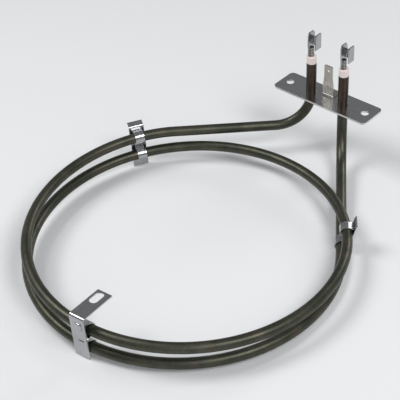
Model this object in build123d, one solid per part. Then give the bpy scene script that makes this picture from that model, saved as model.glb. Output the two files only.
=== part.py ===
from build123d import *
import math
import os

# Tubular heating element: a sheathed element wound into a flat ring of nearly two turns.
# Both tube ends rise through one mounting flange and end in ceramic beads and blade terminals.
# All sizes are millimetres. The origin is the middle of the flange on its terminal side,
# +X runs along the flange, -Y points to the ring and +Z points to the terminals.

# --- Sheathed tube -------------------------------------------------------------------------
tube_diameter = 6.5
tube_wall = 0.6
winding_diameter = 3.0          # outside of the wound resistance wire inside the tube
cold_run = 12.0                 # straight stretch past each bend that holds a pin, not winding

# --- Ring ----------------------------------------------------------------------------------
ring_centre_x = -3.3
ring_centre_y = -130.0
first_turn_radius = 95.0        # centre line of the upper turn
last_turn_radius = 92.9         # centre line of the lower turn
ring_drift_x = -1.1             # how far the turn's centre wanders from first to last
ring_drift_y = -3.6
turn_pitch = 11.8
full_turns_passed = 2           # times the winding passes the +X direction after the first leg
settle_angle = 16.0             # stretch of ring over which its slope runs into a leg's slope
span_angle = 50.0               # the ring is bent in spans of about this angle, two arcs each

# --- Legs ----------------------------------------------------------------------------------
terminal_pitch = 25.0
leg_bend_radius = 22.5
left_bend_drop = 2.06           # top of the left leg's bend below the flange's terminal side
left_leg_slope = -2.3           # degrees, going from the ring to the flange
right_leg_slope = 3.5
stub_height = 21.0              # tube end above the flange

# --- Tube ends -----------------------------------------------------------------------------
pin_diameter = 3.0
pin_flat = 0.1                  # distance from the pin's axis to the flat that a tab is welded on
pin_reach = 6.4                 # pin above the bead
bead_diameter = 6.4
bead_height = 5.2               # bead above the tube end
bead_spigot_depth = 3.0
bead_edge = 0.5
seal_depth = 4.0
bore_clearance = 0.05

# --- Blade terminals -----------------------------------------------------------------------
blade_width = 6.3
blade_thickness = 0.8
blade_gap = 5.6                 # from blade to blade, centre to centre
blade_tip_chamfer_width = 1.1
blade_tip_chamfer_height = 1.8
tab_neck_width = 5.6
tab_foot_clearance = 0.4        # tab's lower end above the bead
tab_height = 17.2               # blade tips above the bead
web_bottom = 6.8                # fold between the blades, above the bead
web_top = 12.8
tab_fold_radius = 1.3

# --- Flange --------------------------------------------------------------------------------
flange_length = 72.0
flange_width = 20.5
flange_thickness = 1.2
flange_corner_radius = 3.0
hole_spacing = 59.0
hole_diameter = 5.0
braze_size = 1.0

# --- Earth tab -----------------------------------------------------------------------------
earth_thickness = 0.8
earth_height = 22.7
earth_base_width = 8.6
earth_blade_width = 6.3
earth_blade_length = 8.5
earth_shoulder = 9.0            # height over which the base narrows to the blade
earth_foot_length = 7.5
earth_fold_radius = 1.2
earth_face_y = 0.9              # front face of the upright
earth_hole_diameter = 1.8
earth_hole_drop = 4.0           # hole below the tip
earth_tip_chamfer = 0.6

# --- Ring clips ----------------------------------------------------------------------------
plate_thickness = 0.8
plate_width = 10.0
plate_clearance = 0.25          # plate off the tubes
strip_thickness = 0.6
strip_width = 6.0
strip_clearance = 0.25          # strip off the tubes
tongue_width = 3.6
strip_fold_radius = 0.5
strip_hook_angle = 262.0        # where the strip lets go of the lower tube
strip_end_out = 0.8             # strip's free end past that point, out of the ring
strip_end_drop = 0.2
slit_clearance = 0.2            # slit beyond the tongue at each end
tongue_slit_height = 1.6
valley_slit_height = 0.8
floor_z = -43.8                 # feet of the plates
# Heights above the upper tube's axis: the tongue's fold, its free end and the middle of its slit.
front_tongue_rise = 7.2
front_tongue_end = 2.0
front_slit_rise = 6.8
plain_tongue_rise = 3.6
plain_tongue_end = -0.4
plain_slit_rise = 3.5
plate_foot_reach = 17.8         # sheet below the middle of the tubes before it is cut level
flare_rise = 6.2                # fold of a plain clip's lip above the upper tube's axis
flare_up = 2.2
left_flare_out = 3.2
right_flare_out = 0.6
clip_fold_radius = 1.2
arm_top_rise = 11.8             # slotted arm above the upper tube's axis
arm_reach = 18.0                # arm's tip inside the upper tube's axis
arm_slot_length = 10.0
arm_slot_width = 5.0
arm_slot_reach = 11.9
arm_slot_shift = 1.0            # slot off the middle of the arm
front_lean = 0.11               # how far the front plate leans out for each millimetre up
front_strip_shift = -1.0        # front strip and its slits off the middle of the plate
front_clip_angle = 277.0
left_clip_angle = 152.0
right_clip_angle = 401.5

tube_radius = tube_diameter / 2
tube_bore_radius = tube_radius - tube_wall
pin_radius = pin_diameter / 2
terminal_x = terminal_pitch / 2


# --- Centre line of the tube ---------------------------------------------------------------
def touch_angle(x, centre_x, centre_y, radius, side):
    """Angle on a turn where a straight leg from the terminal at x touches it."""
    across, along = x - centre_x, -centre_y
    return math.atan2(along, across) + side * math.acos(radius / math.hypot(across, along))


ring_start = touch_angle(-terminal_x, ring_centre_x, ring_centre_y, first_turn_radius, 1)
ring_end = full_turns_passed * 2 * math.pi + touch_angle(
    terminal_x,
    ring_centre_x + ring_drift_x,
    ring_centre_y + ring_drift_y,
    last_turn_radius,
    -1,
)
left_slope = math.radians(left_leg_slope)
right_slope = math.radians(right_leg_slope)


def settled(past_end, slope, radius):
    """Height that the ring gains near its end to run into a leg of the given slope."""
    stretch = math.radians(settle_angle)
    if past_end > stretch:
        return 0.0
    return slope * radius * (stretch - past_end) ** 2 / (2 * stretch)


def first_turn_height():
    """Height of the upper turn that brings the left bend up to its place under the flange."""
    across = ring_centre_x + terminal_x
    reach = math.sqrt(math.hypot(across, ring_centre_y) ** 2 - first_turn_radius**2)
    run_length = (reach - leg_bend_radius * (1 - math.sin(left_slope))) / math.cos(left_slope)
    climb = run_length * math.sin(left_slope) + leg_bend_radius * math.cos(left_slope)
    fall = turn_pitch / (2 * math.pi * first_turn_radius)
    return settled(0, fall - math.tan(left_slope), first_turn_radius) - climb - left_bend_drop


first_turn_z = first_turn_height()


def ring_point(angle):
    """Centre line of the ring at an angle counted on through its turns."""
    share = (angle - ring_start) / (ring_end - ring_start)
    ease = share * share * (3 - 2 * share)
    radius = first_turn_radius + (last_turn_radius - first_turn_radius) * ease
    fall = turn_pitch / (2 * math.pi * radius)
    z = first_turn_z - turn_pitch * (angle - ring_start) / (2 * math.pi)
    z -= settled(angle - ring_start, fall - math.tan(left_slope), radius)
    z += settled(ring_end - angle, fall + math.tan(right_slope), radius)
    return Vector(
        ring_centre_x + ring_drift_x * ease + radius * math.cos(angle),
        ring_centre_y + ring_drift_y * ease + radius * math.sin(angle),
        z,
    )


def leg_points(touch, x, slope):
    """Run direction, start of the upward bend and its end under the terminal at x."""
    flat = Vector(x - touch.X, -touch.Y, 0)
    heading = flat.normalized()
    run = heading * math.cos(slope) + Vector(0, 0, math.sin(slope))
    turn = math.pi / 2 - slope
    bend_flat = leg_bend_radius * (1 - math.sin(slope))
    run_length = (flat.length - bend_flat) / math.cos(slope)
    bend_start = touch + run * run_length
    rise = leg_bend_radius * math.cos(slope)
    bend_end = Vector(x, 0, bend_start.Z + rise)
    return run, bend_start, bend_end


left_touch = ring_point(ring_start)
right_touch = ring_point(ring_end)
left_run, left_bend_start, left_bend_end = leg_points(left_touch, -terminal_x, left_slope)
right_run, right_bend_start, right_bend_end = leg_points(right_touch, terminal_x, right_slope)


def end_edges(x, run, bend_start, bend_end, top):
    """Edges of one tube end from its top down: the stub, the bend and the cold run."""
    return [
        Line((x, 0, top), bend_end),
        TangentArc(bend_end, bend_start, tangent=(0, 0, -1)),
        Line(bend_start, bend_start - run * cold_run),
    ]


def ring_heading(angle):
    """Direction of the ring's centre line, which runs on into the legs at both ends."""
    step = 1e-4
    if angle - ring_start < step:
        return -left_run
    if ring_end - angle < step:
        return right_run
    return (ring_point(angle + step) - ring_point(angle - step)).normalized()


def arc_pair(first, last):
    """Two tangent arcs along the ring from one angle to another."""
    start, end = ring_point(first), ring_point(last)
    start_way, end_way = ring_heading(first), ring_heading(last)
    chord = end - start
    along = chord.dot(start_way + end_way)
    spread = 2 * (1 - start_way.dot(end_way))
    reach = (math.sqrt(along**2 + spread * chord.dot(chord)) - along) / spread
    joint = (start + end + (start_way - end_way) * reach) / 2
    opening = TangentArc(start, joint, tangent=start_way)
    return [opening, TangentArc(joint, end, tangent=opening % 1)]


def hot_edges():
    """Edges between the cold runs: leg, ring, leg."""
    settle = math.radians(settle_angle)
    count = round((ring_end - ring_start - 2 * settle) / math.radians(span_angle))
    span = (ring_end - ring_start - 2 * settle) / count
    stops = [ring_start]
    stops += [ring_start + settle + index * span for index in range(count + 1)]
    stops.append(ring_end)
    edges = [Line(left_bend_start - left_run * cold_run, left_touch)]
    for first, last in zip(stops, stops[1:]):
        edges += arc_pair(first, last)
    edges.append(Line(right_touch, right_bend_start - right_run * cold_run))
    return edges


def tube_edges(top):
    """Every edge of the element from one end to the other."""
    left = end_edges(-terminal_x, left_run, left_bend_start, left_bend_end, top)
    right = end_edges(terminal_x, right_run, right_bend_start, right_bend_end, top)
    return left + hot_edges() + right


def round_sweep(edges, radius, bore_radius=0.0):
    """A round bar or tube along the edges."""
    path = Wire(edges)
    start = Plane(origin=path @ 0, z_dir=path % 0)
    section = start * Circle(radius)
    if bore_radius:
        section -= start * Circle(bore_radius)
    return sweep(section, path=path)


def sheath_tube():
    return round_sweep(tube_edges(stub_height), tube_radius, tube_bore_radius)


fill_top = stub_height - bead_spigot_depth - seal_depth


def insulation_fill():
    return round_sweep(tube_edges(fill_top), tube_bore_radius, winding_diameter / 2)


def resistance_coil():
    return round_sweep(hot_edges(), winding_diameter / 2)


# --- Tube ends -----------------------------------------------------------------------------
bead_top = stub_height + bead_height


def terminal_pin(x, run, bend_start, bend_end):
    """Pin from the winding up through the bead, with a flat where the blade tab is welded."""
    pin = round_sweep(end_edges(x, run, bend_start, bend_end, bead_top + pin_reach), pin_radius)
    waste = Pos(x - pin_flat - pin_radius, 0, bead_top + tab_foot_clearance) * Box(
        2 * pin_radius, 2 * pin_diameter, 2 * pin_reach, align=(Align.CENTER, Align.CENTER, Align.MIN)
    )
    return pin - waste


def ceramic_bead(x):
    """Bead that caps the tube end, with a spigot inside the tube."""
    head = Cylinder(bead_diameter / 2, bead_height, align=(Align.CENTER, Align.CENTER, Align.MIN))
    head = fillet(head.edges(), bead_edge)
    spigot = Cylinder(
        tube_bore_radius - bore_clearance,
        bead_spigot_depth + bead_edge,
        align=(Align.CENTER, Align.CENTER, Align.MIN),
    )
    bore = Cylinder(pin_radius + bore_clearance, 4 * bead_height)
    return Pos(x, 0, stub_height) * (head + Pos(0, 0, -bead_spigot_depth) * spigot - bore)


def end_seal(x):
    """Ring of sealing resin between the insulation and the bead's spigot."""
    ring = Circle(tube_bore_radius) - Circle(pin_radius)
    return Pos(x, 0, fill_top) * extrude(ring, seal_depth)


def blade_outline(width, top, bottom, chamfer_width, chamfer_height):
    """Face of a blade seen square on, with its tip chamfered."""
    half = width / 2
    shoulder = top - chamfer_height
    return make_face(
        Polyline(
            (-half, bottom),
            (half, bottom),
            (half, shoulder),
            (half - chamfer_width, top),
            (-half + chamfer_width, top),
            (-half, shoulder),
            close=True,
        )
    )


def twin_tab(x):
    """Two blades folded from one sheet, with a neck welded along the pin's flat."""
    base_x = -pin_flat - blade_thickness / 2
    outer = Rectangle(blade_gap + blade_thickness, blade_width)
    outer = fillet(outer.vertices().group_by(Axis.Y)[-1], tab_fold_radius)
    inner = Rectangle(blade_gap - blade_thickness, blade_width)
    inner = fillet(inner.vertices().group_by(Axis.Y)[-1], tab_fold_radius - blade_thickness)
    channel = outer - Pos(0, -blade_thickness) * inner
    folded = Pos(base_x + blade_gap / 2, 0, web_bottom) * extrude(channel, tab_height - web_bottom)
    window = Box(
        blade_gap - blade_thickness,
        2 * blade_width,
        tab_height,
        align=(Align.CENTER, Align.CENTER, Align.MIN),
    )
    folded -= Pos(base_x + blade_gap / 2, 0, web_top) * window
    reach = 2 * blade_gap + blade_thickness
    outline = blade_outline(
        blade_width, tab_height, 0, blade_tip_chamfer_width, blade_tip_chamfer_height
    )
    folded &= extrude(Plane.YZ * outline, reach, both=True)
    neck = Pos(base_x, 0, tab_foot_clearance) * Box(
        blade_thickness,
        tab_neck_width,
        web_bottom - tab_foot_clearance,
        align=(Align.CENTER, Align.CENTER, Align.MIN),
    )
    return Pos(x, 0, bead_top) * (folded + neck)


# --- Flange --------------------------------------------------------------------------------
def mounting_flange():
    """Flat plate with two tube holes and two screw holes."""
    outline = RectangleRounded(flange_length, flange_width, flange_corner_radius)
    outline -= Pos(-terminal_x, 0) * Circle(tube_radius)
    outline -= Pos(terminal_x, 0) * Circle(tube_radius)
    outline -= Pos(-hole_spacing / 2, 0) * Circle(hole_diameter / 2)
    outline -= Pos(hole_spacing / 2, 0) * Circle(hole_diameter / 2)
    return extrude(outline, -flange_thickness)


def braze_ring(x):
    """Fillet of braze between the tube and the ring side of the flange."""
    section = make_face(
        Polyline(
            (tube_radius, 0),
            (tube_radius + braze_size, 0),
            (tube_radius, -braze_size),
            close=True,
        )
    )
    return Pos(x, 0, -flange_thickness) * revolve(Plane.XZ * section, Axis.Z)


def earth_tab():
    """Earth blade standing on a foot that is welded to the flange."""
    middle = earth_thickness / 2
    bend = FilletPolyline(
        (0, earth_face_y + earth_foot_length, middle),
        (0, earth_face_y + middle, middle),
        (0, earth_face_y + middle, earth_height),
        radius=earth_fold_radius,
    )
    start = Plane(origin=bend @ 0, x_dir=(1, 0, 0), z_dir=bend % 0)
    sheet = sweep(start * Rectangle(earth_base_width, earth_thickness), path=bend)
    blade = blade_outline(
        earth_blade_width,
        earth_height,
        earth_height - earth_blade_length,
        earth_tip_chamfer,
        earth_tip_chamfer,
    )
    half_base = earth_base_width / 2
    half_blade = earth_blade_width / 2
    neck_top = earth_height - earth_blade_length
    lower = make_face(
        Polyline(
            (-half_base, 0),
            (half_base, 0),
            (half_base, neck_top - earth_shoulder),
            (half_blade, neck_top),
            (-half_blade, neck_top),
            (-half_base, neck_top - earth_shoulder),
            close=True,
        )
    )
    hole = Pos(0, earth_height - earth_hole_drop) * Circle(earth_hole_diameter / 2)
    outline = blade + lower - hole
    reach = 2 * (earth_foot_length + earth_face_y)
    return sheet & extrude(Plane.XZ * outline, reach, both=True)


# --- Ring clips ----------------------------------------------------------------------------
def clip_section(angle):
    """Plane across both tubes: local X out of the ring, local Y from lower tube to upper."""
    turn = math.radians(angle)
    around = Vector(-math.sin(turn), math.cos(turn), 0)
    upper = ring_point(turn)
    if turn + 2 * math.pi <= ring_end:
        lower = ring_point(turn + 2 * math.pi)
    else:
        lower = right_touch + right_run * ((upper - right_touch).dot(around) / right_run.dot(around))
        around = (around + Vector(right_run.X, right_run.Y, 0).normalized()).normalized()
    lower += around * (upper - lower).dot(around)
    across = (upper - lower).normalized()
    out = around.cross(across)
    section = Plane(origin=(upper + lower) / 2, x_dir=out, z_dir=out.cross(across))
    return section, (upper - lower).length / 2


def bent_sheet(section, points, radii, thickness, width):
    """Sheet of the given width folded along points drawn in the section."""
    path = section * FilletPolyline(*points, radius=radii)
    start = Plane(origin=path @ 0, x_dir=section.z_dir, z_dir=path % 0)
    return sweep(start * Rectangle(width, thickness), path=path)


plate_x = tube_radius + plate_clearance + plate_thickness / 2
strip_hug = tube_radius + strip_clearance + strip_thickness / 2
strip_offset = (plate_thickness + strip_thickness) / 2
cutter_depth = 5 * plate_thickness      # blocks that cut through a plate or a strip
waste_size = 4 * plate_width            # blocks that take away whatever lies past a cut


class Clip:
    """Section, spread, lean and tongue heights of one clip."""

    def __init__(self, angle, tongue_rise, tongue_end, slit_rise, lean=0.0, shift=0.0):
        self.section, self.half_pitch = clip_section(angle)
        self.tongue_top = self.half_pitch + tongue_rise
        self.tongue_low = self.half_pitch + tongue_end
        self.slit_height = self.half_pitch + slit_rise
        self.lean = lean
        self.strip_gap = strip_offset * math.hypot(1, lean)
        self.shift = shift

    def plate_line(self, height):
        """Middle of the plate's thickness at a height."""
        return plate_x + self.lean * (height + self.half_pitch)

    def tongue_touch(self):
        """Angle on the upper tube where the strip from the tongue's fold meets it."""
        out = self.plate_line(self.tongue_top) + self.strip_gap
        rise = self.tongue_top - self.half_pitch
        return math.atan2(rise, out) + math.acos(strip_hug / math.hypot(out, rise))

    def slit(self, height, opening):
        """Slot across the plate, as wide as the tongue."""
        cutter = Box(cutter_depth, opening, tongue_width + 2 * slit_clearance)
        return self.section * Pos(self.plate_line(height), height, self.shift) * cutter


def clip_plate(clip, upper_points):
    """Outer plate of a clip, with its slits, cut off level at the foot."""
    foot = (clip.plate_line(-plate_foot_reach), -plate_foot_reach)
    plate = bent_sheet(
        clip.section, [foot] + upper_points, [clip_fold_radius], plate_thickness, plate_width
    )
    plate -= clip.slit(clip.slit_height, tongue_slit_height)
    plate -= clip.slit(0, valley_slit_height)
    below = Box(waste_size, waste_size, waste_size, align=(Align.CENTER, Align.CENTER, Align.MAX))
    return plate - Pos(clip.section.origin.X, clip.section.origin.Y, floor_z) * below


def plain_plate(clip, flare_out):
    """Short plate with a lip that flares out of the ring."""
    fold = (plate_x, clip.half_pitch + flare_rise)
    tip = (plate_x + flare_out, clip.half_pitch + flare_rise + flare_up)
    return clip_plate(clip, [fold, tip])


def slotted_plate(clip):
    """Long plate whose arm turns in over the ring and ends in a slotted hole."""
    arm_y = clip.half_pitch + arm_top_rise - plate_thickness / 2
    fold = (clip.plate_line(arm_y), arm_y)
    plate = clip_plate(clip, [fold, (-arm_reach, arm_y)])
    section = clip.section
    flat = Plane(
        origin=section.from_local_coords((-arm_slot_reach, arm_y, arm_slot_shift)),
        x_dir=section.x_dir,
        z_dir=section.y_dir,
    )
    slot = extrude(flat * SlotOverall(arm_slot_length, arm_slot_width), 2 * plate_thickness, both=True)
    return plate - slot


def hump_corner(height, first, last):
    """Corner whose rounding hugs the tube between two touch angles."""
    reach = strip_hug / math.cos((last - first) / 2)
    middle = (first + last) / 2
    return (reach * math.cos(middle), height + reach * math.sin(middle))


def retaining_strip(clip):
    """Sprung strip that is hooked through the plate and humps over both tubes inside the ring."""
    half_pitch = clip.half_pitch
    valley_x = clip.plate_line(0) - clip.strip_gap
    valley_reach = math.hypot(valley_x, half_pitch)
    valley_touch = math.atan2(half_pitch, valley_x) + math.acos(strip_hug / valley_reach)
    hook = math.radians(strip_hook_angle)
    end_x = strip_hug * math.cos(hook) + strip_end_out
    end_y = -half_pitch + strip_hug * math.sin(hook) - strip_end_drop
    points = [
        (clip.plate_line(clip.tongue_low) + clip.strip_gap, clip.tongue_low),
        (clip.plate_line(clip.tongue_top) + clip.strip_gap, clip.tongue_top),
        hump_corner(half_pitch, clip.tongue_touch(), 2 * math.pi - valley_touch),
        (valley_x, 0),
        hump_corner(-half_pitch, valley_touch, hook),
        (end_x, end_y),
    ]
    radii = [strip_fold_radius, strip_hug, strip_fold_radius, strip_hug]
    middle = clip.section.offset(clip.shift)
    strip = bent_sheet(middle, points, radii, strip_thickness, strip_width)
    side = Box(cutter_depth, waste_size, waste_size, align=(Align.MIN, Align.MIN, Align.MIN))
    reach = clip.plate_line(clip.slit_height) - plate_thickness
    strip -= middle * Pos(reach, half_pitch / 2, tongue_width / 2) * side
    strip -= middle * Pos(reach, half_pitch / 2, -tongue_width / 2 - waste_size) * side
    return strip


def save(node, shape):
    shape.label = node
    export_step(shape, f"parts/{node}.step")


os.makedirs("parts", exist_ok=True)
save("sheath_tube", sheath_tube())
save("insulation_fill", insulation_fill())
save("resistance_coil", resistance_coil())
save("mounting_flange", mounting_flange())
save("earth_tab", earth_tab())
ends = {
    "left": (-terminal_x, left_run, left_bend_start, left_bend_end),
    "right": (terminal_x, right_run, right_bend_start, right_bend_end),
}
for side, (x, run, bend_start, bend_end) in ends.items():
    save(f"terminal_pin_{side}", terminal_pin(x, run, bend_start, bend_end))
    save(f"ceramic_bead_{side}", ceramic_bead(x))
    save(f"end_seal_{side}", end_seal(x))
    save(f"twin_tab_{side}", twin_tab(x))
    save(f"braze_ring_{side}", braze_ring(x))
front_clip = Clip(
    front_clip_angle,
    front_tongue_rise,
    front_tongue_end,
    front_slit_rise,
    front_lean,
    front_strip_shift,
)
left_clip = Clip(left_clip_angle, plain_tongue_rise, plain_tongue_end, plain_slit_rise)
right_clip = Clip(right_clip_angle, plain_tongue_rise, plain_tongue_end, plain_slit_rise)
save("front_clip_plate", slotted_plate(front_clip))
save("left_clip_plate", plain_plate(left_clip, left_flare_out))
save("right_clip_plate", plain_plate(right_clip, right_flare_out))
save("front_clip_strip", retaining_strip(front_clip))
save("left_clip_strip", retaining_strip(left_clip))
save("right_clip_strip", retaining_strip(right_clip))
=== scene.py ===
import bpy
import math
from mathutils import Matrix, Vector


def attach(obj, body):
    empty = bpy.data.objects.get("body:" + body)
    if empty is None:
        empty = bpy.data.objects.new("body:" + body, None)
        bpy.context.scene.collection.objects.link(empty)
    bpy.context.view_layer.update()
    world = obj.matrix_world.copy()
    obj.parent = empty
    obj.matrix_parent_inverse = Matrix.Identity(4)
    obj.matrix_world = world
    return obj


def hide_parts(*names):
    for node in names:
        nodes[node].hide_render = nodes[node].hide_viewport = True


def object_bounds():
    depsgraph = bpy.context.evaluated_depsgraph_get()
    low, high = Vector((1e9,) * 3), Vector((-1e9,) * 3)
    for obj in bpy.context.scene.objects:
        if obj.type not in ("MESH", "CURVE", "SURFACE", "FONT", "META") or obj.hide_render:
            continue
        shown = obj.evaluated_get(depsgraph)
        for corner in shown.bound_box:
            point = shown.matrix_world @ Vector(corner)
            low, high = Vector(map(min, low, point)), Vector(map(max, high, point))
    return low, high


# Tubular heating element: an oxidised tube wound into about 1.7 turns, held by three sprung
# sheet clips, with both ends brazed into a stainless flange and closed by ceramic beads.
# Metres, in the frame of the solids: +X along the flange, -Y to the ring, +Z to the terminals.

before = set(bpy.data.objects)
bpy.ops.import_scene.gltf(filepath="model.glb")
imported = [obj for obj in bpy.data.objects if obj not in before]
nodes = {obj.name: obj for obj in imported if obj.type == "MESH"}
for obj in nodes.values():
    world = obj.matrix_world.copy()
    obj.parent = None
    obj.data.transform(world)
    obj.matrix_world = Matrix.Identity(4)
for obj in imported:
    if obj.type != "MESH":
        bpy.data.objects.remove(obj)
solid_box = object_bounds()
MM = 0.001

# --- Sizes of the element ------------------------------------------------------------------
tube_radius = 3.25 * MM
tube_wall = 0.6 * MM
ring_centre = Vector((-3.3, -130.0, 0)) * MM
ring_drift = Vector((-1.1, -3.6, 0)) * MM
first_turn_radius = 95.0 * MM
last_turn_radius = 92.9 * MM
first_turn_z = -21.1 * MM
turn_pitch = 11.8 * MM
settle_angle = math.radians(16.0)
terminal_x = 12.5 * MM
leg_bend_radius = 22.5 * MM
left_slope = math.radians(-2.3)
right_slope = math.radians(3.5)
stub_height = 21.0 * MM
bead_height = 5.2 * MM
bead_radius = 3.2 * MM
bead_spigot_depth = 3.0 * MM
pin_radius = 1.5 * MM
bead_top = stub_height + bead_height
foot_z = -43.8 * MM

flange_length = 72.0 * MM
flange_width = 20.5 * MM
flange_thickness = 1.2 * MM
flange_corner_radius = 3.0 * MM
hole_spacing = 59.0 * MM
hole_radius = 2.5 * MM

plate_thickness = 0.8 * MM
plate_width = 10.0 * MM
strip_thickness = 0.6 * MM
strip_width = 6.0 * MM
tongue_width = 3.6 * MM
strip_hook_angle = math.radians(262.0)
strip_fold_radius = 0.5 * MM
strip_end_out = 0.8 * MM
strip_end_drop = 0.2 * MM
clip_clearance = 0.25 * MM
clip_fold_radius = 1.2 * MM
slit_clearance = 0.2 * MM
tongue_slit_height = 1.6 * MM
valley_slit_height = 0.8 * MM
plate_foot_reach = 17.8 * MM
flare_rise = 6.2 * MM
flare_up = 2.2 * MM
arm_top_rise = 11.8 * MM
arm_reach = 18.0 * MM
arm_slot_reach = 11.9 * MM
arm_slot_length = 10.0 * MM
arm_slot_width = 5.0 * MM
arm_slot_shift = 1.0 * MM
plate_x = tube_radius + clip_clearance + plate_thickness / 2
strip_hug = tube_radius + clip_clearance + strip_thickness / 2
strip_offset = (plate_thickness + strip_thickness) / 2

fold_step = math.radians(6)
leg_steps = 12
bend_steps = 24
stub_steps = 6
ring_steps = 330
weld_distance = 0.002 * MM
smooth_angle = math.radians(32)
tube_smooth_angle = math.radians(40)

# Edge rounding and play between pieces.
sheared_edge = 0.1 * MM
strip_edge = 0.08 * MM
flange_edge = 0.16 * MM
braze_edge = 0.2 * MM
bead_edge = 0.45 * MM
bead_play = 0.05 * MM
bead_union_depth = 1.0 * MM
punch_reach = 5 * MM


# --- Handwork ------------------------------------------------------------------------------
def choose(*pieces):
    """Makes these pieces, and nothing else, selected."""
    bpy.ops.object.select_all(action="DESELECT")
    for piece in pieces:
        piece.select_set(True)
    bpy.context.view_layer.objects.active = pieces[-1]


def edit(piece):
    """Opens a piece for editing with all of it selected."""
    choose(piece)
    bpy.ops.object.mode_set(mode="EDIT")
    bpy.ops.mesh.select_mode(type="VERT")
    bpy.ops.mesh.select_all(action="SELECT")


def close_up(piece):
    """Welds the piece's seams and turns all its faces outwards."""
    edit(piece)
    bpy.ops.mesh.remove_doubles(threshold=weld_distance)
    bpy.ops.mesh.normals_make_consistent(inside=False)
    bpy.ops.object.mode_set(mode="OBJECT")


def finish_with(piece, kind, **settings):
    """Adds one modifier to a piece and applies it."""
    choose(piece)
    modifier = piece.modifiers.new(kind.title(), kind)
    for name, value in settings.items():
        setattr(modifier, name, value)
    bpy.ops.object.modifier_apply(modifier=modifier.name)


def ease_edges(piece, width, segments=2, sharper_than=40):
    """Rounds the piece's sharp edges; folds shade smooth and flats stay flat."""
    finish_with(
        piece,
        "BEVEL",
        width=width,
        segments=segments,
        limit_method="ANGLE",
        angle_limit=math.radians(sharper_than),
        use_clamp_overlap=True,
    )
    choose(piece)
    bpy.ops.object.shade_smooth_by_angle(angle=smooth_angle)
    finish_with(piece, "WEIGHTED_NORMAL", keep_sharp=True)


def settle(piece):
    """Puts the piece's place into its mesh."""
    choose(piece)
    bpy.ops.object.transform_apply(location=True, rotation=True, scale=True)
    return piece


def cut(piece, *cutters, how="DIFFERENCE"):
    """Cuts the cutters out of a piece, or joins them to it, and clears them away."""
    for cutter in cutters:
        finish_with(piece, "BOOLEAN", object=cutter, operation=how, solver="EXACT")
        bpy.data.objects.remove(cutter)


def rod(name, x, y, low, high, radius, sides=64):
    """Upright round bar."""
    bpy.ops.mesh.primitive_cylinder_add(
        vertices=sides, radius=radius, depth=high - low, location=(x, y, (low + high) / 2)
    )
    piece = bpy.context.object
    piece.name = name
    return settle(piece)


def block(name, centre, ways, sizes):
    """Square block turned along three directions."""
    turn = Matrix(ways).transposed()
    bpy.ops.mesh.primitive_cube_add(size=1, location=centre, rotation=turn.to_euler())
    piece = bpy.context.object
    piece.name = name
    piece.scale = sizes
    return settle(piece)


def round_corners(piece, along, radius):
    """Rounds the corners of a block that run along one direction."""
    edit(piece)
    bpy.ops.mesh.select_mode(type="EDGE")
    bpy.ops.mesh.select_all(action="DESELECT")
    bpy.ops.object.mode_set(mode="OBJECT")
    for edge in piece.data.edges:
        first, last = (piece.data.vertices[index].co for index in edge.vertices)
        edge.select = abs((last - first).normalized().dot(along)) > 0.99
    bpy.ops.object.mode_set(mode="EDIT")
    bpy.ops.mesh.bevel(offset=radius, segments=14, affect="EDGES")
    bpy.ops.object.mode_set(mode="OBJECT")


def copy_of(node, name):
    """Own copy of a solid's mesh, with its loose triangles merged into clean faces."""
    piece = nodes[node].copy()
    piece.data = nodes[node].data.copy()
    piece.name = name
    for key in list(piece.keys()):
        del piece[key]
    bpy.context.scene.collection.objects.link(piece)
    piece.parent = None
    edit(piece)
    bpy.ops.mesh.customdata_custom_splitnormals_clear()
    bpy.ops.mesh.remove_doubles(threshold=weld_distance)
    bpy.ops.mesh.dissolve_limited(angle_limit=math.radians(0.5))
    bpy.ops.mesh.normals_make_consistent(inside=False)
    bpy.ops.object.mode_set(mode="OBJECT")
    return piece


def stand_for(piece, node, finish):
    """Gives a piece its finish and its place among the solids."""
    piece.data.materials.clear()
    piece.data.materials.append(finish.material)
    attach(piece, "root")
    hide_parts(node)
    return piece


# --- Sheet metal ---------------------------------------------------------------------------
def folded_sheet(name, section, corners, radii, thickness, width):
    """Sheet folded along corners drawn in a section: runs are extruded and folds are spun."""
    origin, out, up = section
    across = out.cross(up)
    stops = [origin + out * x + up * y for x, y in corners]
    ways = [(last - first).normalized() for first, last in zip(stops, stops[1:])]
    turn = Matrix((across, ways[0].cross(across), ways[0])).transposed()
    bpy.ops.mesh.primitive_plane_add(size=1, location=stops[0], rotation=turn.to_euler())
    piece = bpy.context.object
    piece.name = name
    piece.scale = (width, thickness, 1)
    settle(piece)
    edit(piece)
    here = stops[0]
    for corner, way, onward, radius in zip(stops[1:], ways, ways[1:], radii):
        fold = way.angle(onward)
        setback = radius * math.tan(fold / 2)
        run = (corner - here).dot(way) - setback
        if run > weld_distance:
            bpy.ops.mesh.extrude_region_move(TRANSFORM_OT_translate={"value": way * run})
        here = corner - way * setback
        hinge = way.cross(onward).normalized()
        bpy.ops.mesh.spin(
            steps=max(3, math.ceil(fold / fold_step)),
            angle=-fold,
            center=here + hinge.cross(way) * radius,
            axis=hinge,
        )
        here = corner + onward * setback
    bpy.ops.mesh.extrude_region_move(TRANSFORM_OT_translate={"value": stops[-1] - here})
    bpy.ops.object.mode_set(mode="OBJECT")
    close_up(piece)
    return piece


# --- Centre line of the tube ---------------------------------------------------------------
def touch_angle(x, centre, radius, side):
    """Angle on a turn where a straight leg from the terminal at x touches it."""
    across, along = x - centre.x, -centre.y
    return math.atan2(along, across) + side * math.acos(radius / math.hypot(across, along))


ring_start = touch_angle(-terminal_x, ring_centre, first_turn_radius, 1)
ring_end = 4 * math.pi + touch_angle(terminal_x, ring_centre + ring_drift, last_turn_radius, -1)


def settled(past_end, slope, radius):
    """Height that the ring gains near its end to run into a leg of the given slope."""
    return slope * radius * max(settle_angle - past_end, 0) ** 2 / (2 * settle_angle)


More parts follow.
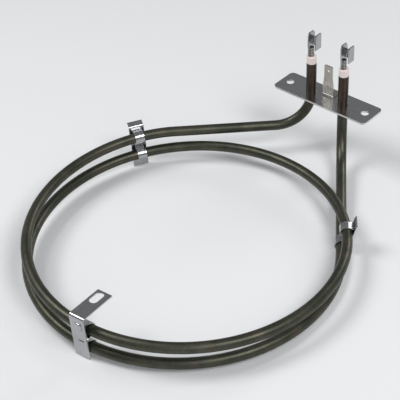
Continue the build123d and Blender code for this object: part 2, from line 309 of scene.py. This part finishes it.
def ring_point(angle):
    """Centre line of the ring at an angle counted on through its turns."""
    share = (angle - ring_start) / (ring_end - ring_start)
    ease = share * share * (3 - 2 * share)
    radius = first_turn_radius + (last_turn_radius - first_turn_radius) * ease
    fall = turn_pitch / (2 * math.pi * radius)
    z = first_turn_z - turn_pitch * (angle - ring_start) / (2 * math.pi)
    z -= settled(angle - ring_start, fall - math.tan(left_slope), radius)
    z += settled(ring_end - angle, fall + math.tan(right_slope), radius)
    turned = Vector((math.cos(angle), math.sin(angle), 0)) * radius
    return ring_centre + ring_drift * ease + turned + Vector((0, 0, z))


def leg_line(touch, x, slope):
    """Points of one leg from the ring to the tube's end, with the leg's direction."""
    flat = Vector((x - touch.x, -touch.y, 0))
    heading = flat.normalized()
    run = heading * math.cos(slope) + Vector((0, 0, math.sin(slope)))
    length = (flat.length - leg_bend_radius * (1 - math.sin(slope))) / math.cos(slope)
    start = touch + run * length
    rise = leg_bend_radius * math.cos(slope)
    centre = Vector((x, 0, start.z + rise)) - heading * leg_bend_radius
    points = [touch + run * length * step / leg_steps for step in range(1, leg_steps)]
    for step in range(bend_steps + 1):
        lean = slope + (math.pi / 2 - slope) * step / bend_steps
        points.append(
            centre + (heading * math.sin(lean) - Vector((0, 0, math.cos(lean)))) * leg_bend_radius
        )
    foot = points[-1]
    end = Vector((x, 0, stub_height))
    points += [foot.lerp(end, step / stub_steps) for step in range(1, stub_steps + 1)]
    return points, run


left_leg = leg_line(ring_point(ring_start), -terminal_x, left_slope)[0]
right_leg, right_run = leg_line(ring_point(ring_end), terminal_x, right_slope)
ring_line = [
    ring_point(ring_start + (ring_end - ring_start) * step / ring_steps)
    for step in range(ring_steps + 1)
]


def bent_tube(name, points):
    """Hollow tube along the points, open at both ends."""
    curve = bpy.data.curves.new(name, "CURVE")
    curve.dimensions = "3D"
    spline = curve.splines.new("POLY")
    spline.points.add(len(points) - 1)
    for point, place in zip(spline.points, points):
        point.co = (*place, 1)
    curve.bevel_depth = tube_radius
    curve.bevel_resolution = 12
    piece = bpy.data.objects.new(name, curve)
    bpy.context.scene.collection.objects.link(piece)
    choose(piece)
    bpy.ops.object.convert(target="MESH")
    piece = bpy.context.object
    close_up(piece)
    finish_with(piece, "SOLIDIFY", thickness=tube_wall, offset=-1, use_even_offset=False)
    choose(piece)
    bpy.ops.object.shade_smooth_by_angle(angle=tube_smooth_angle)
    return piece


# --- Finishes ------------------------------------------------------------------------------
class Value:
    """A socket that takes part in arithmetic."""

    def __init__(self, finish, socket):
        self.finish = finish
        self.socket = socket

    def maths(self, operation, *others):
        sockets = dict(enumerate((self,) + others))
        return self.finish.node("Math", {"operation": operation}, sockets)

    def __add__(self, other):
        return self.maths("ADD", other)

    __radd__ = __add__

    def __mul__(self, other):
        return self.maths("MULTIPLY", other)

    __rmul__ = __mul__

    def __sub__(self, other):
        return self.maths("SUBTRACT", other)

    def __rsub__(self, other):
        return self * -1 + other

    def __truediv__(self, other):
        return self.maths("DIVIDE", other)

    def __pow__(self, other):
        return self.maths("POWER", other)

    def within(self, low, high):
        """0 below low, 1 above high and smooth between."""
        return self.finish.node(
            "MapRange",
            {"interpolation_type": "SMOOTHSTEP"},
            {"Value": self, "From Min": low, "From Max": high},
        )


class Finish:
    """One surface finish, written down as shader nodes."""

    def __init__(self, name, metallic):
        self.material = bpy.data.materials.new(name)
        self.material.use_nodes = True
        self.tree = self.material.node_tree
        self.shader = self.tree.nodes["Principled BSDF"]
        self.shader.inputs["Metallic"].default_value = metallic
        self.place = self.node("TexCoord", {}, {}, "Object")

    def set(self, socket, value):
        if isinstance(value, Value):
            self.tree.links.new(value.socket, socket)
        else:
            socket.default_value = value

    def node(self, kind, settings, sockets, result=0):
        for family in ("ShaderNode", "ShaderNodeTex"):
            if hasattr(bpy.types, family + kind):
                made = self.tree.nodes.new(family + kind)
        for name, value in settings.items():
            setattr(made, name, value)
        for name, value in sockets.items():
            self.set(made.inputs[name], value)
        return Value(self, made.outputs[result])

    def vector(self, operation, *values, result=0):
        return self.node("VectorMath", {"operation": operation}, dict(enumerate(values)), result)

    def stretched(self, along, factor):
        """The place on the object, drawn out by a factor across one direction."""
        spread = self.vector("DOT_PRODUCT", self.place, along, result="Value") * factor
        pushed = self.node("VectorMath", {"operation": "SCALE"}, {0: along, "Scale": spread})
        return self.vector("ADD", self.place, pushed)

    def noise(self, size, detail=3, roughness=0.55, place=None):
        """Soft random blotches of about this size in metres."""
        return self.node(
            "Noise",
            {},
            {
                "Vector": place or self.place,
                "Scale": 1 / size,
                "Detail": detail,
                "Roughness": roughness,
            },
        )

    def blend(self, factor, first, second):
        return self.node(
            "Mix", {"data_type": "RGBA"}, {0: factor, 6: first, 7: second}, result=2
        )

    def wear(self, colour, roughness, height, depth):
        """Joins colour, roughness and relief to the shader."""
        self.set(self.shader.inputs["Base Color"], colour)
        self.set(self.shader.inputs["Roughness"], roughness)
        bump = self.node("Bump", {}, {"Height": height, "Distance": depth, "Strength": 1.0})
        self.set(self.shader.inputs["Normal"], bump)
        return self


def shade(red, green, blue):
    return (red, green, blue, 1.0)


def oxidised_tube(name):
    """Sheath darkened by heat: olive on the ring, brown on the ends above the flange, made darker
    there by a painted dark reflection.
    """
    finish = Finish(name, 0.9)
    parts = finish.node("SeparateXYZ", {}, {0: finish.place}, "Z")
    clouds = finish.noise(14 * MM, 4)
    grain = finish.noise(1.1 * MM, 4, 0.7)
    specks = finish.noise(0.45 * MM, 2).within(0.62, 0.7)
    # Mask of the ends above the flange: their own brown tone, darkened further as a painted dark
    # reflection.
    stub_brown_and_shade = (parts + (clouds - 0.5) * 0.02).within(-0.012, 0.004)
    tints = finish.noise(6 * MM, 3)
    ring = finish.blend(
        clouds.within(0.35, 0.66), shade(0.056, 0.061, 0.045), shade(0.089, 0.088, 0.066)
    )
    ring = finish.blend(tints.within(0.56, 0.7) * 0.45, ring, shade(0.12, 0.078, 0.069))
    ring = finish.blend((1 - tints).within(0.56, 0.7) * 0.4, ring, shade(0.05, 0.071, 0.049))
    # Brown of the ends; its extra darkness is a painted dark reflection.
    ends = finish.blend(
        clouds.within(0.3, 0.7), shade(0.048, 0.032, 0.024), shade(0.075, 0.052, 0.038)
    )
    colour = finish.blend(stub_brown_and_shade, ring, ends)
    colour = finish.blend(grain.within(0.45, 0.8) * 0.5, colour, shade(0.14, 0.13, 0.106))
    colour = finish.blend(specks * 0.6, colour, shade(0.03, 0.027, 0.022))
    roughness = 0.34 + grain * 0.16 + specks * 0.15
    return finish.wear(colour, roughness, grain + specks * -0.5, 0.03 * MM)


def rolled_steel(name, across, light, dark, roughness, streak=0.35 * MM, edges=()):
    """Bright sheet with fine rolling lines, faint scratches and a little grime.

    Faces square to the directions in edges are paled as a painted highlight, and made matt.
    """
    finish = Finish(name, 1.0)
    lines = finish.noise(20 * MM, 4, 0.6, finish.stretched(across, 20 * MM / streak))
    scratches = finish.noise(9 * MM, 2, 0.5, finish.stretched(across, 80)).within(0.66, 0.72)
    blotch = finish.noise(7 * MM, 4, 0.6)
    grime = blotch.within(0.5, 0.8)
    colour = finish.blend(lines.within(0.3, 0.7), dark, light)
    colour = finish.blend(grime * 0.2, colour, shade(0.2, 0.185, 0.16))
    rough = roughness + lines * 0.03 + grime * 0.05 + scratches * 0.04
    facing = finish.node("TexCoord", {}, {}, "Normal")
    for way in edges:
        turned = finish.vector("DOT_PRODUCT", facing, way, result="Value").maths("ABSOLUTE")
        painted_highlight_matt_faces = turned.within(0.6, 0.9)
        # Painted highlight: these side faces are paled towards near-white; they are also made matt.
        colour = finish.blend(painted_highlight_matt_faces * 0.8, colour, shade(0.82, 0.82, 0.8))
        rough = rough + painted_highlight_matt_faces * 0.2
    return finish.wear(colour, rough, lines * 0.5 - scratches, 0.0008 * MM)


def ridged_pin(name):
    """Pin end with the cross ridges that a welding jaw leaves on it."""
    finish = Finish(name, 1.0)
    height = finish.node("SeparateXYZ", {}, {0: finish.place}, "Z")
    ridge = (height * (2 * math.pi / (1.1 * MM))).maths("SINE") * 0.5 + 0.5
    burnt = finish.noise(2 * MM, 3).within(0.5, 0.75)
    colour = finish.blend(ridge.within(0.3, 0.7), shade(0.16, 0.15, 0.14), shade(0.62, 0.6, 0.57))
    colour = finish.blend(burnt * 0.5, colour, shade(0.12, 0.1, 0.085))
    return finish.wear(colour, 0.28 + burnt * 0.2, ridge, 0.25 * MM)


def ceramic(name):
    """Fired bead: matt cream with a pink cast and small pores."""
    finish = Finish(name, 0.0)
    body = finish.noise(3 * MM, 4)
    pores = finish.noise(0.35 * MM, 3).within(0.63, 0.72)
    colour = finish.blend(body.within(0.3, 0.7), shade(0.83, 0.71, 0.665), shade(0.89, 0.79, 0.745))
    colour = finish.blend(pores * 0.5, colour, shade(0.45, 0.33, 0.28))
    return finish.wear(colour, 0.5 + body * 0.15, body - pores, 0.03 * MM)


def cast_braze(name):
    """Braze run around the tube: dull gold with flow ripples."""
    finish = Finish(name, 1.0)
    ripple = finish.noise(1.6 * MM, 3)
    burnt = finish.noise(4 * MM, 3).within(0.45, 0.7)
    colour = finish.blend(ripple, shade(0.42, 0.34, 0.2), shade(0.55, 0.47, 0.33))
    colour = finish.blend(burnt * 0.7, colour, shade(0.12, 0.09, 0.065))
    return finish.wear(colour, 0.35 + burnt * 0.2, ripple, 0.12 * MM)


def packed_powder(name, low, high, size):
    """Dull filling inside the tube."""
    finish = Finish(name, 0.0)
    grain = finish.noise(size, 4, 0.7)
    return finish.wear(finish.blend(grain, low, high), 0.75 + grain * 0.15, grain, 0.05 * MM)


def wound_wire(name):
    """Resistance wire: dark turns with bright crests."""
    finish = Finish(name, 0.9)
    turns = finish.noise(0.5 * MM, 2)
    colour = finish.blend(turns.within(0.4, 0.6), shade(0.1, 0.095, 0.09), shade(0.3, 0.29, 0.28))
    return finish.wear(colour, 0.4 + turns * 0.1, turns, 0.1 * MM)


axis_x, axis_y, axis_z = Vector((1, 0, 0)), Vector((0, 1, 0)), Vector((0, 0, 1))
sheath_finish = oxidised_tube("oxidised_sheath")
flange_finish = rolled_steel(
    "stainless_flange",
    axis_y,
    shade(0.52, 0.525, 0.53),
    shade(0.4, 0.405, 0.415),
    0.2,
    # Side faces along X and Y get a painted highlight.
    edges=(axis_x, axis_y),
)
earth_finish = rolled_steel(
    "plated_earth_tab", axis_x, shade(0.56, 0.53, 0.48), shade(0.38, 0.365, 0.34), 0.22
)
blade_finish = rolled_steel(
    "plated_blades", axis_y, shade(0.5, 0.5, 0.5), shade(0.36, 0.365, 0.37), 0.2
)
pin_finish = ridged_pin("terminal_pins")
bead_finish = ceramic("fired_beads")
braze_finish = cast_braze("brazed_joint")
fill_finish = packed_powder(
    "magnesia_fill", shade(0.5, 0.48, 0.44), shade(0.7, 0.68, 0.64), 0.8 * MM
)
seal_finish = packed_powder(
    "sealing_resin", shade(0.12, 0.05, 0.03), shade(0.2, 0.09, 0.05), 0.6 * MM
)
winding_finish = wound_wire("resistance_winding")

# --- Tube ----------------------------------------------------------------------------------
tube = bent_tube("element_sheath", left_leg[::-1] + ring_line + right_leg)
stand_for(tube, "sheath_tube", sheath_finish)

# --- Flange --------------------------------------------------------------------------------
flange = block(
    "flange_plate",
    (0, 0, -flange_thickness / 2),
    (axis_x, axis_y, axis_z),
    (flange_length, flange_width, flange_thickness),
)
round_corners(flange, axis_z, flange_corner_radius)
for side in (-1, 1):
    cut(
        flange,
        rod("tube_punch", side * terminal_x, 0, -punch_reach, punch_reach, tube_radius, 96),
        rod("screw_punch", side * hole_spacing / 2, 0, -punch_reach, punch_reach, hole_radius, 96),
    )
ease_edges(flange, flange_edge, 3)
stand_for(flange, "mounting_flange", flange_finish)

# --- Tube ends -----------------------------------------------------------------------------
for side, x in (("left", -terminal_x), ("right", terminal_x)):
    bead = rod(f"bead_{side}", x, 0, stub_height, bead_top, bead_radius, 96)
    ease_edges(bead, bead_edge, 5)
    spigot_low, spigot_high = stub_height - bead_spigot_depth, bead_top - bead_union_depth
    spigot_radius = tube_radius - tube_wall - bead_play
    spigot = rod("spigot", x, 0, spigot_low, spigot_high, spigot_radius, 96)
    cut(bead, spigot, how="UNION")
    cut(bead, rod("bore", x, 0, 0, 2 * bead_top, pin_radius + bead_play, 48))
    choose(bead)
    bpy.ops.object.shade_smooth_by_angle(angle=smooth_angle)
    stand_for(bead, f"ceramic_bead_{side}", bead_finish)

    tab = copy_of(f"twin_tab_{side}", f"blade_pair_{side}")
    ease_edges(tab, sheared_edge)
    stand_for(tab, f"twin_tab_{side}", blade_finish)

    joint = copy_of(f"braze_ring_{side}", f"braze_{side}")
    ease_edges(joint, braze_edge, 3)
    stand_for(joint, f"braze_ring_{side}", braze_finish)

earth = copy_of("earth_tab", "earth_blade")
ease_edges(earth, sheared_edge)
stand_for(earth, "earth_tab", earth_finish)


# --- Ring clips ----------------------------------------------------------------------------
def clip_section(angle):
    """Middle of the two tubes at an angle, the way out of the ring and the way up."""
    around = Vector((-math.sin(angle), math.cos(angle), 0))
    upper = ring_point(angle)
    if angle + 2 * math.pi <= ring_end:
        lower = ring_point(angle + 2 * math.pi)
    else:
        touch = ring_point(ring_end)
        lower = touch + right_run * ((upper - touch).dot(around) / right_run.dot(around))
        around = (around + Vector((right_run.x, right_run.y, 0)).normalized()).normalized()
    lower += around * (upper - lower).dot(around)
    up = (upper - lower).normalized()
    return ((upper + lower) / 2, around.cross(up), up), (upper - lower).length / 2


class Clip:
    """Section, spread and lean of one clip, with its tongue's heights over the upper tube."""

    def __init__(self, angle, tongue_rise, tongue_end, slit_rise, lean=0.0, shift=0.0):
        self.section, self.half_pitch = clip_section(math.radians(angle))
        self.tongue_top = self.half_pitch + tongue_rise * MM
        self.tongue_low = self.half_pitch + tongue_end * MM
        self.slit_height = self.half_pitch + slit_rise * MM
        self.lean = lean
        self.shift = shift * MM
        self.strip_gap = strip_offset * math.hypot(1, lean)

    def spot(self, x, height, aside=0.0):
        """Point given by its way out of the ring, height and way along the ring."""
        origin, out, up = self.section
        return origin + out * x + up * height + out.cross(up) * aside

    def cutter(self, name, centre, sizes):
        out, up = self.section[1:]
        return block(name, self.spot(*centre), (out, up, out.cross(up)), sizes)

    def plate_line(self, height):
        """Middle of the plate's thickness at a height."""
        return plate_x + self.lean * (height + self.half_pitch)

    def plate(self, name, upper_corners):
        """Outer plate with its slits, cut off level at the foot."""
        foot = (self.plate_line(-plate_foot_reach), -plate_foot_reach)
        corners, radii = [foot] + upper_corners, [clip_fold_radius]
        sheet = folded_sheet(name, self.section, corners, radii, plate_thickness, plate_width)
        for height, tall in ((self.slit_height, tongue_slit_height), (0, valley_slit_height)):
            centre = (self.plate_line(height), height, self.shift)
            sizes = (4 * plate_thickness, tall, tongue_width + 2 * slit_clearance)
            cut(sheet, self.cutter("slit", centre, sizes))
        edit(sheet)
        bpy.ops.mesh.bisect(
            plane_co=(0, 0, foot_z), plane_no=(0, 0, -1), use_fill=True, clear_outer=True
        )
        bpy.ops.object.mode_set(mode="OBJECT")
        return sheet

    def strip(self, name):
        """Sprung strip hooked through the plate, with a hump over each tube."""
        half_pitch, hook = self.half_pitch, strip_hook_angle
        outside = self.plate_line(self.tongue_top) + self.strip_gap
        rise = self.tongue_top - half_pitch
        valley_x = self.plate_line(0) - self.strip_gap
        tongue_touch = math.atan2(rise, outside) + math.acos(strip_hug / math.hypot(outside, rise))
        valley_touch = math.atan2(half_pitch, valley_x)
        valley_touch += math.acos(strip_hug / math.hypot(valley_x, half_pitch))
        corners = [
            (self.plate_line(self.tongue_low) + self.strip_gap, self.tongue_low),
            (outside, self.tongue_top),
            hump_corner(half_pitch, tongue_touch, 2 * math.pi - valley_touch),
            (valley_x, 0),
            hump_corner(-half_pitch, valley_touch, hook),
            (
                strip_hug * math.cos(hook) + strip_end_out,
                -half_pitch + strip_hug * math.sin(hook) - strip_end_drop,
            ),
        ]
        radii = [strip_fold_radius, strip_hug, strip_fold_radius, strip_hug]
        out, up = self.section[1:]
        middle = (self.spot(0, 0, self.shift), out, up)
        sheet = folded_sheet(name, middle, corners, radii, strip_thickness, strip_width)
        deep, tall = 5 * plate_thickness, 4 * half_pitch
        reach = self.plate_line(self.slit_height) - plate_thickness + deep / 2
        for side in (-1, 1):
            aside = self.shift + side * (tongue_width + strip_width) / 2
            centre = (reach, (half_pitch + tall) / 2, aside)
            cut(sheet, self.cutter("side_waste", centre, (deep, tall, strip_width)))
        return sheet


def hump_corner(height, first, last):
    """Corner whose rounding hugs the tube between two touch angles."""
    reach = strip_hug / math.cos((last - first) / 2)
    middle = (first + last) / 2
    return (reach * math.cos(middle), height + reach * math.sin(middle))


def slotted_plate(clip):
    """Long plate whose arm turns in over the ring and ends in a slotted hole."""
    arm_y = clip.half_pitch + arm_top_rise - plate_thickness / 2
    plate = clip.plate("front_plate", [(clip.plate_line(arm_y), arm_y), (-arm_reach, arm_y)])
    out, up = clip.section[1:]
    middle = clip.spot(-arm_slot_reach, arm_y, arm_slot_shift)
    sizes = (arm_slot_length, arm_slot_width, 4 * plate_thickness)
    punch = block("slot_punch", middle, (out, out.cross(up), up), sizes)
    round_corners(punch, up, 0.498 * arm_slot_width)
    cut(plate, punch)
    return plate


def plain_plate(place, clip, flare_out):
    """Short plate with a lip that flares out of the ring."""
    fold = clip.half_pitch + flare_rise
    return clip.plate(f"{place}_plate", [(plate_x, fold), (plate_x + flare_out, fold + flare_up)])


def hang(place, clip, plate):
    """Finishes a clip's plate and makes the strip that holds both tubes against it."""
    out, up = clip.section[1:]
    light, dark = shade(0.5, 0.505, 0.515), shade(0.37, 0.375, 0.385)
    across = out.cross(up)
    # Side faces of plate and strip get a painted highlight.
    finish = rolled_steel(f"{place}_clip_steel", across, light, dark, 0.22, edges=(across,))
    ease_edges(plate, sheared_edge)
    stand_for(plate, f"{place}_clip_plate", finish)
    strip = clip.strip(f"{place}_strip")
    ease_edges(strip, strip_edge)
    stand_for(strip, f"{place}_clip_strip", finish)


front_clip = Clip(277.0, 7.2, 2.0, 6.8, lean=0.11, shift=-1.0)
left_clip = Clip(152.0, 3.6, -0.4, 3.5)
right_clip = Clip(401.5, 3.6, -0.4, 3.5)
hang("front", front_clip, slotted_plate(front_clip))
hang("left", left_clip, plain_plate("left", left_clip, 3.2 * MM))
hang("right", right_clip, plain_plate("right", right_clip, 0.6 * MM))

# --- Solids that keep their own shape ------------------------------------------------------
kept = {
    "insulation_fill": fill_finish,
    "resistance_coil": winding_finish,
    "end_seal_left": seal_finish,
    "end_seal_right": seal_finish,
    "terminal_pin_left": pin_finish,
    "terminal_pin_right": pin_finish,
}
for name, finish in kept.items():
    nodes[name].data.materials.clear()
    nodes[name].data.materials.append(finish.material)

# --- Studio --------------------------------------------------------------------------------
bpy.ops.mesh.primitive_plane_add(size=6, location=(0, 0, solid_box[0][2]))
studio_floor = bpy.context.object
studio_floor.name = "studio_floor"
paper = bpy.data.materials.new("pale_paper")
paper.use_nodes = True
paper.node_tree.nodes["Principled BSDF"].inputs["Base Color"].default_value = shade(0.8, 0.81, 0.82)
paper.node_tree.nodes["Principled BSDF"].inputs["Roughness"].default_value = 0.8
studio_floor.data.materials.append(paper)

world = bpy.data.worlds.new("studio_room")
world.use_nodes = True
bpy.context.scene.world = world
world.node_tree.nodes["Background"].inputs["Color"].default_value = shade(0.96, 0.98, 1.0)
world.node_tree.nodes["Background"].inputs["Strength"].default_value = 0.27


def soft_lamp(name, place, aim, size, power):
    lamp = bpy.data.lights.new(name, "AREA")
    lamp.shape = "DISK"
    lamp.size = size
    lamp.energy = power
    holder = bpy.data.objects.new(name, lamp)
    holder.location = place
    holder.rotation_euler = (Vector(aim) - Vector(place)).to_track_quat("-Z", "Y").to_euler()
    bpy.context.scene.collection.objects.link(holder)


ring_middle = (0, -0.12, 0)
soft_lamp("key_lamp", (-0.55, -0.45, 0.85), ring_middle, 0.5, 5.4)
soft_lamp("top_lamp", (0.66, -0.19, 0.78), (-0.09, -0.09, -0.03), 0.42, 4.4)
soft_lamp("fill_lamp", (0.8, -0.9, 0.6), ring_middle, 0.6, 1.6)
soft_lamp("back_lamp", (0.08, 0.95, 0.5), ring_middle, 0.4, 2.4)

camera = bpy.data.cameras.new("camera")
camera.sensor_width = 36.0
camera.lens = 100.48
camera.clip_start = 0.01
view = bpy.data.objects.new("camera", camera)
right = Vector((0.74299, 0.66743, -0.05014))
up = Vector((-0.3898, 0.49239, 0.77821))
turn = Matrix((right, up, right.cross(up))).transposed().to_4x4()
view.matrix_world = Matrix.Translation((0.352994, -0.484246, 0.39884)) @ turn
bpy.context.scene.collection.objects.link(view)
bpy.context.scene.camera = view
bpy.context.scene.view_settings.view_transform = "Standard"
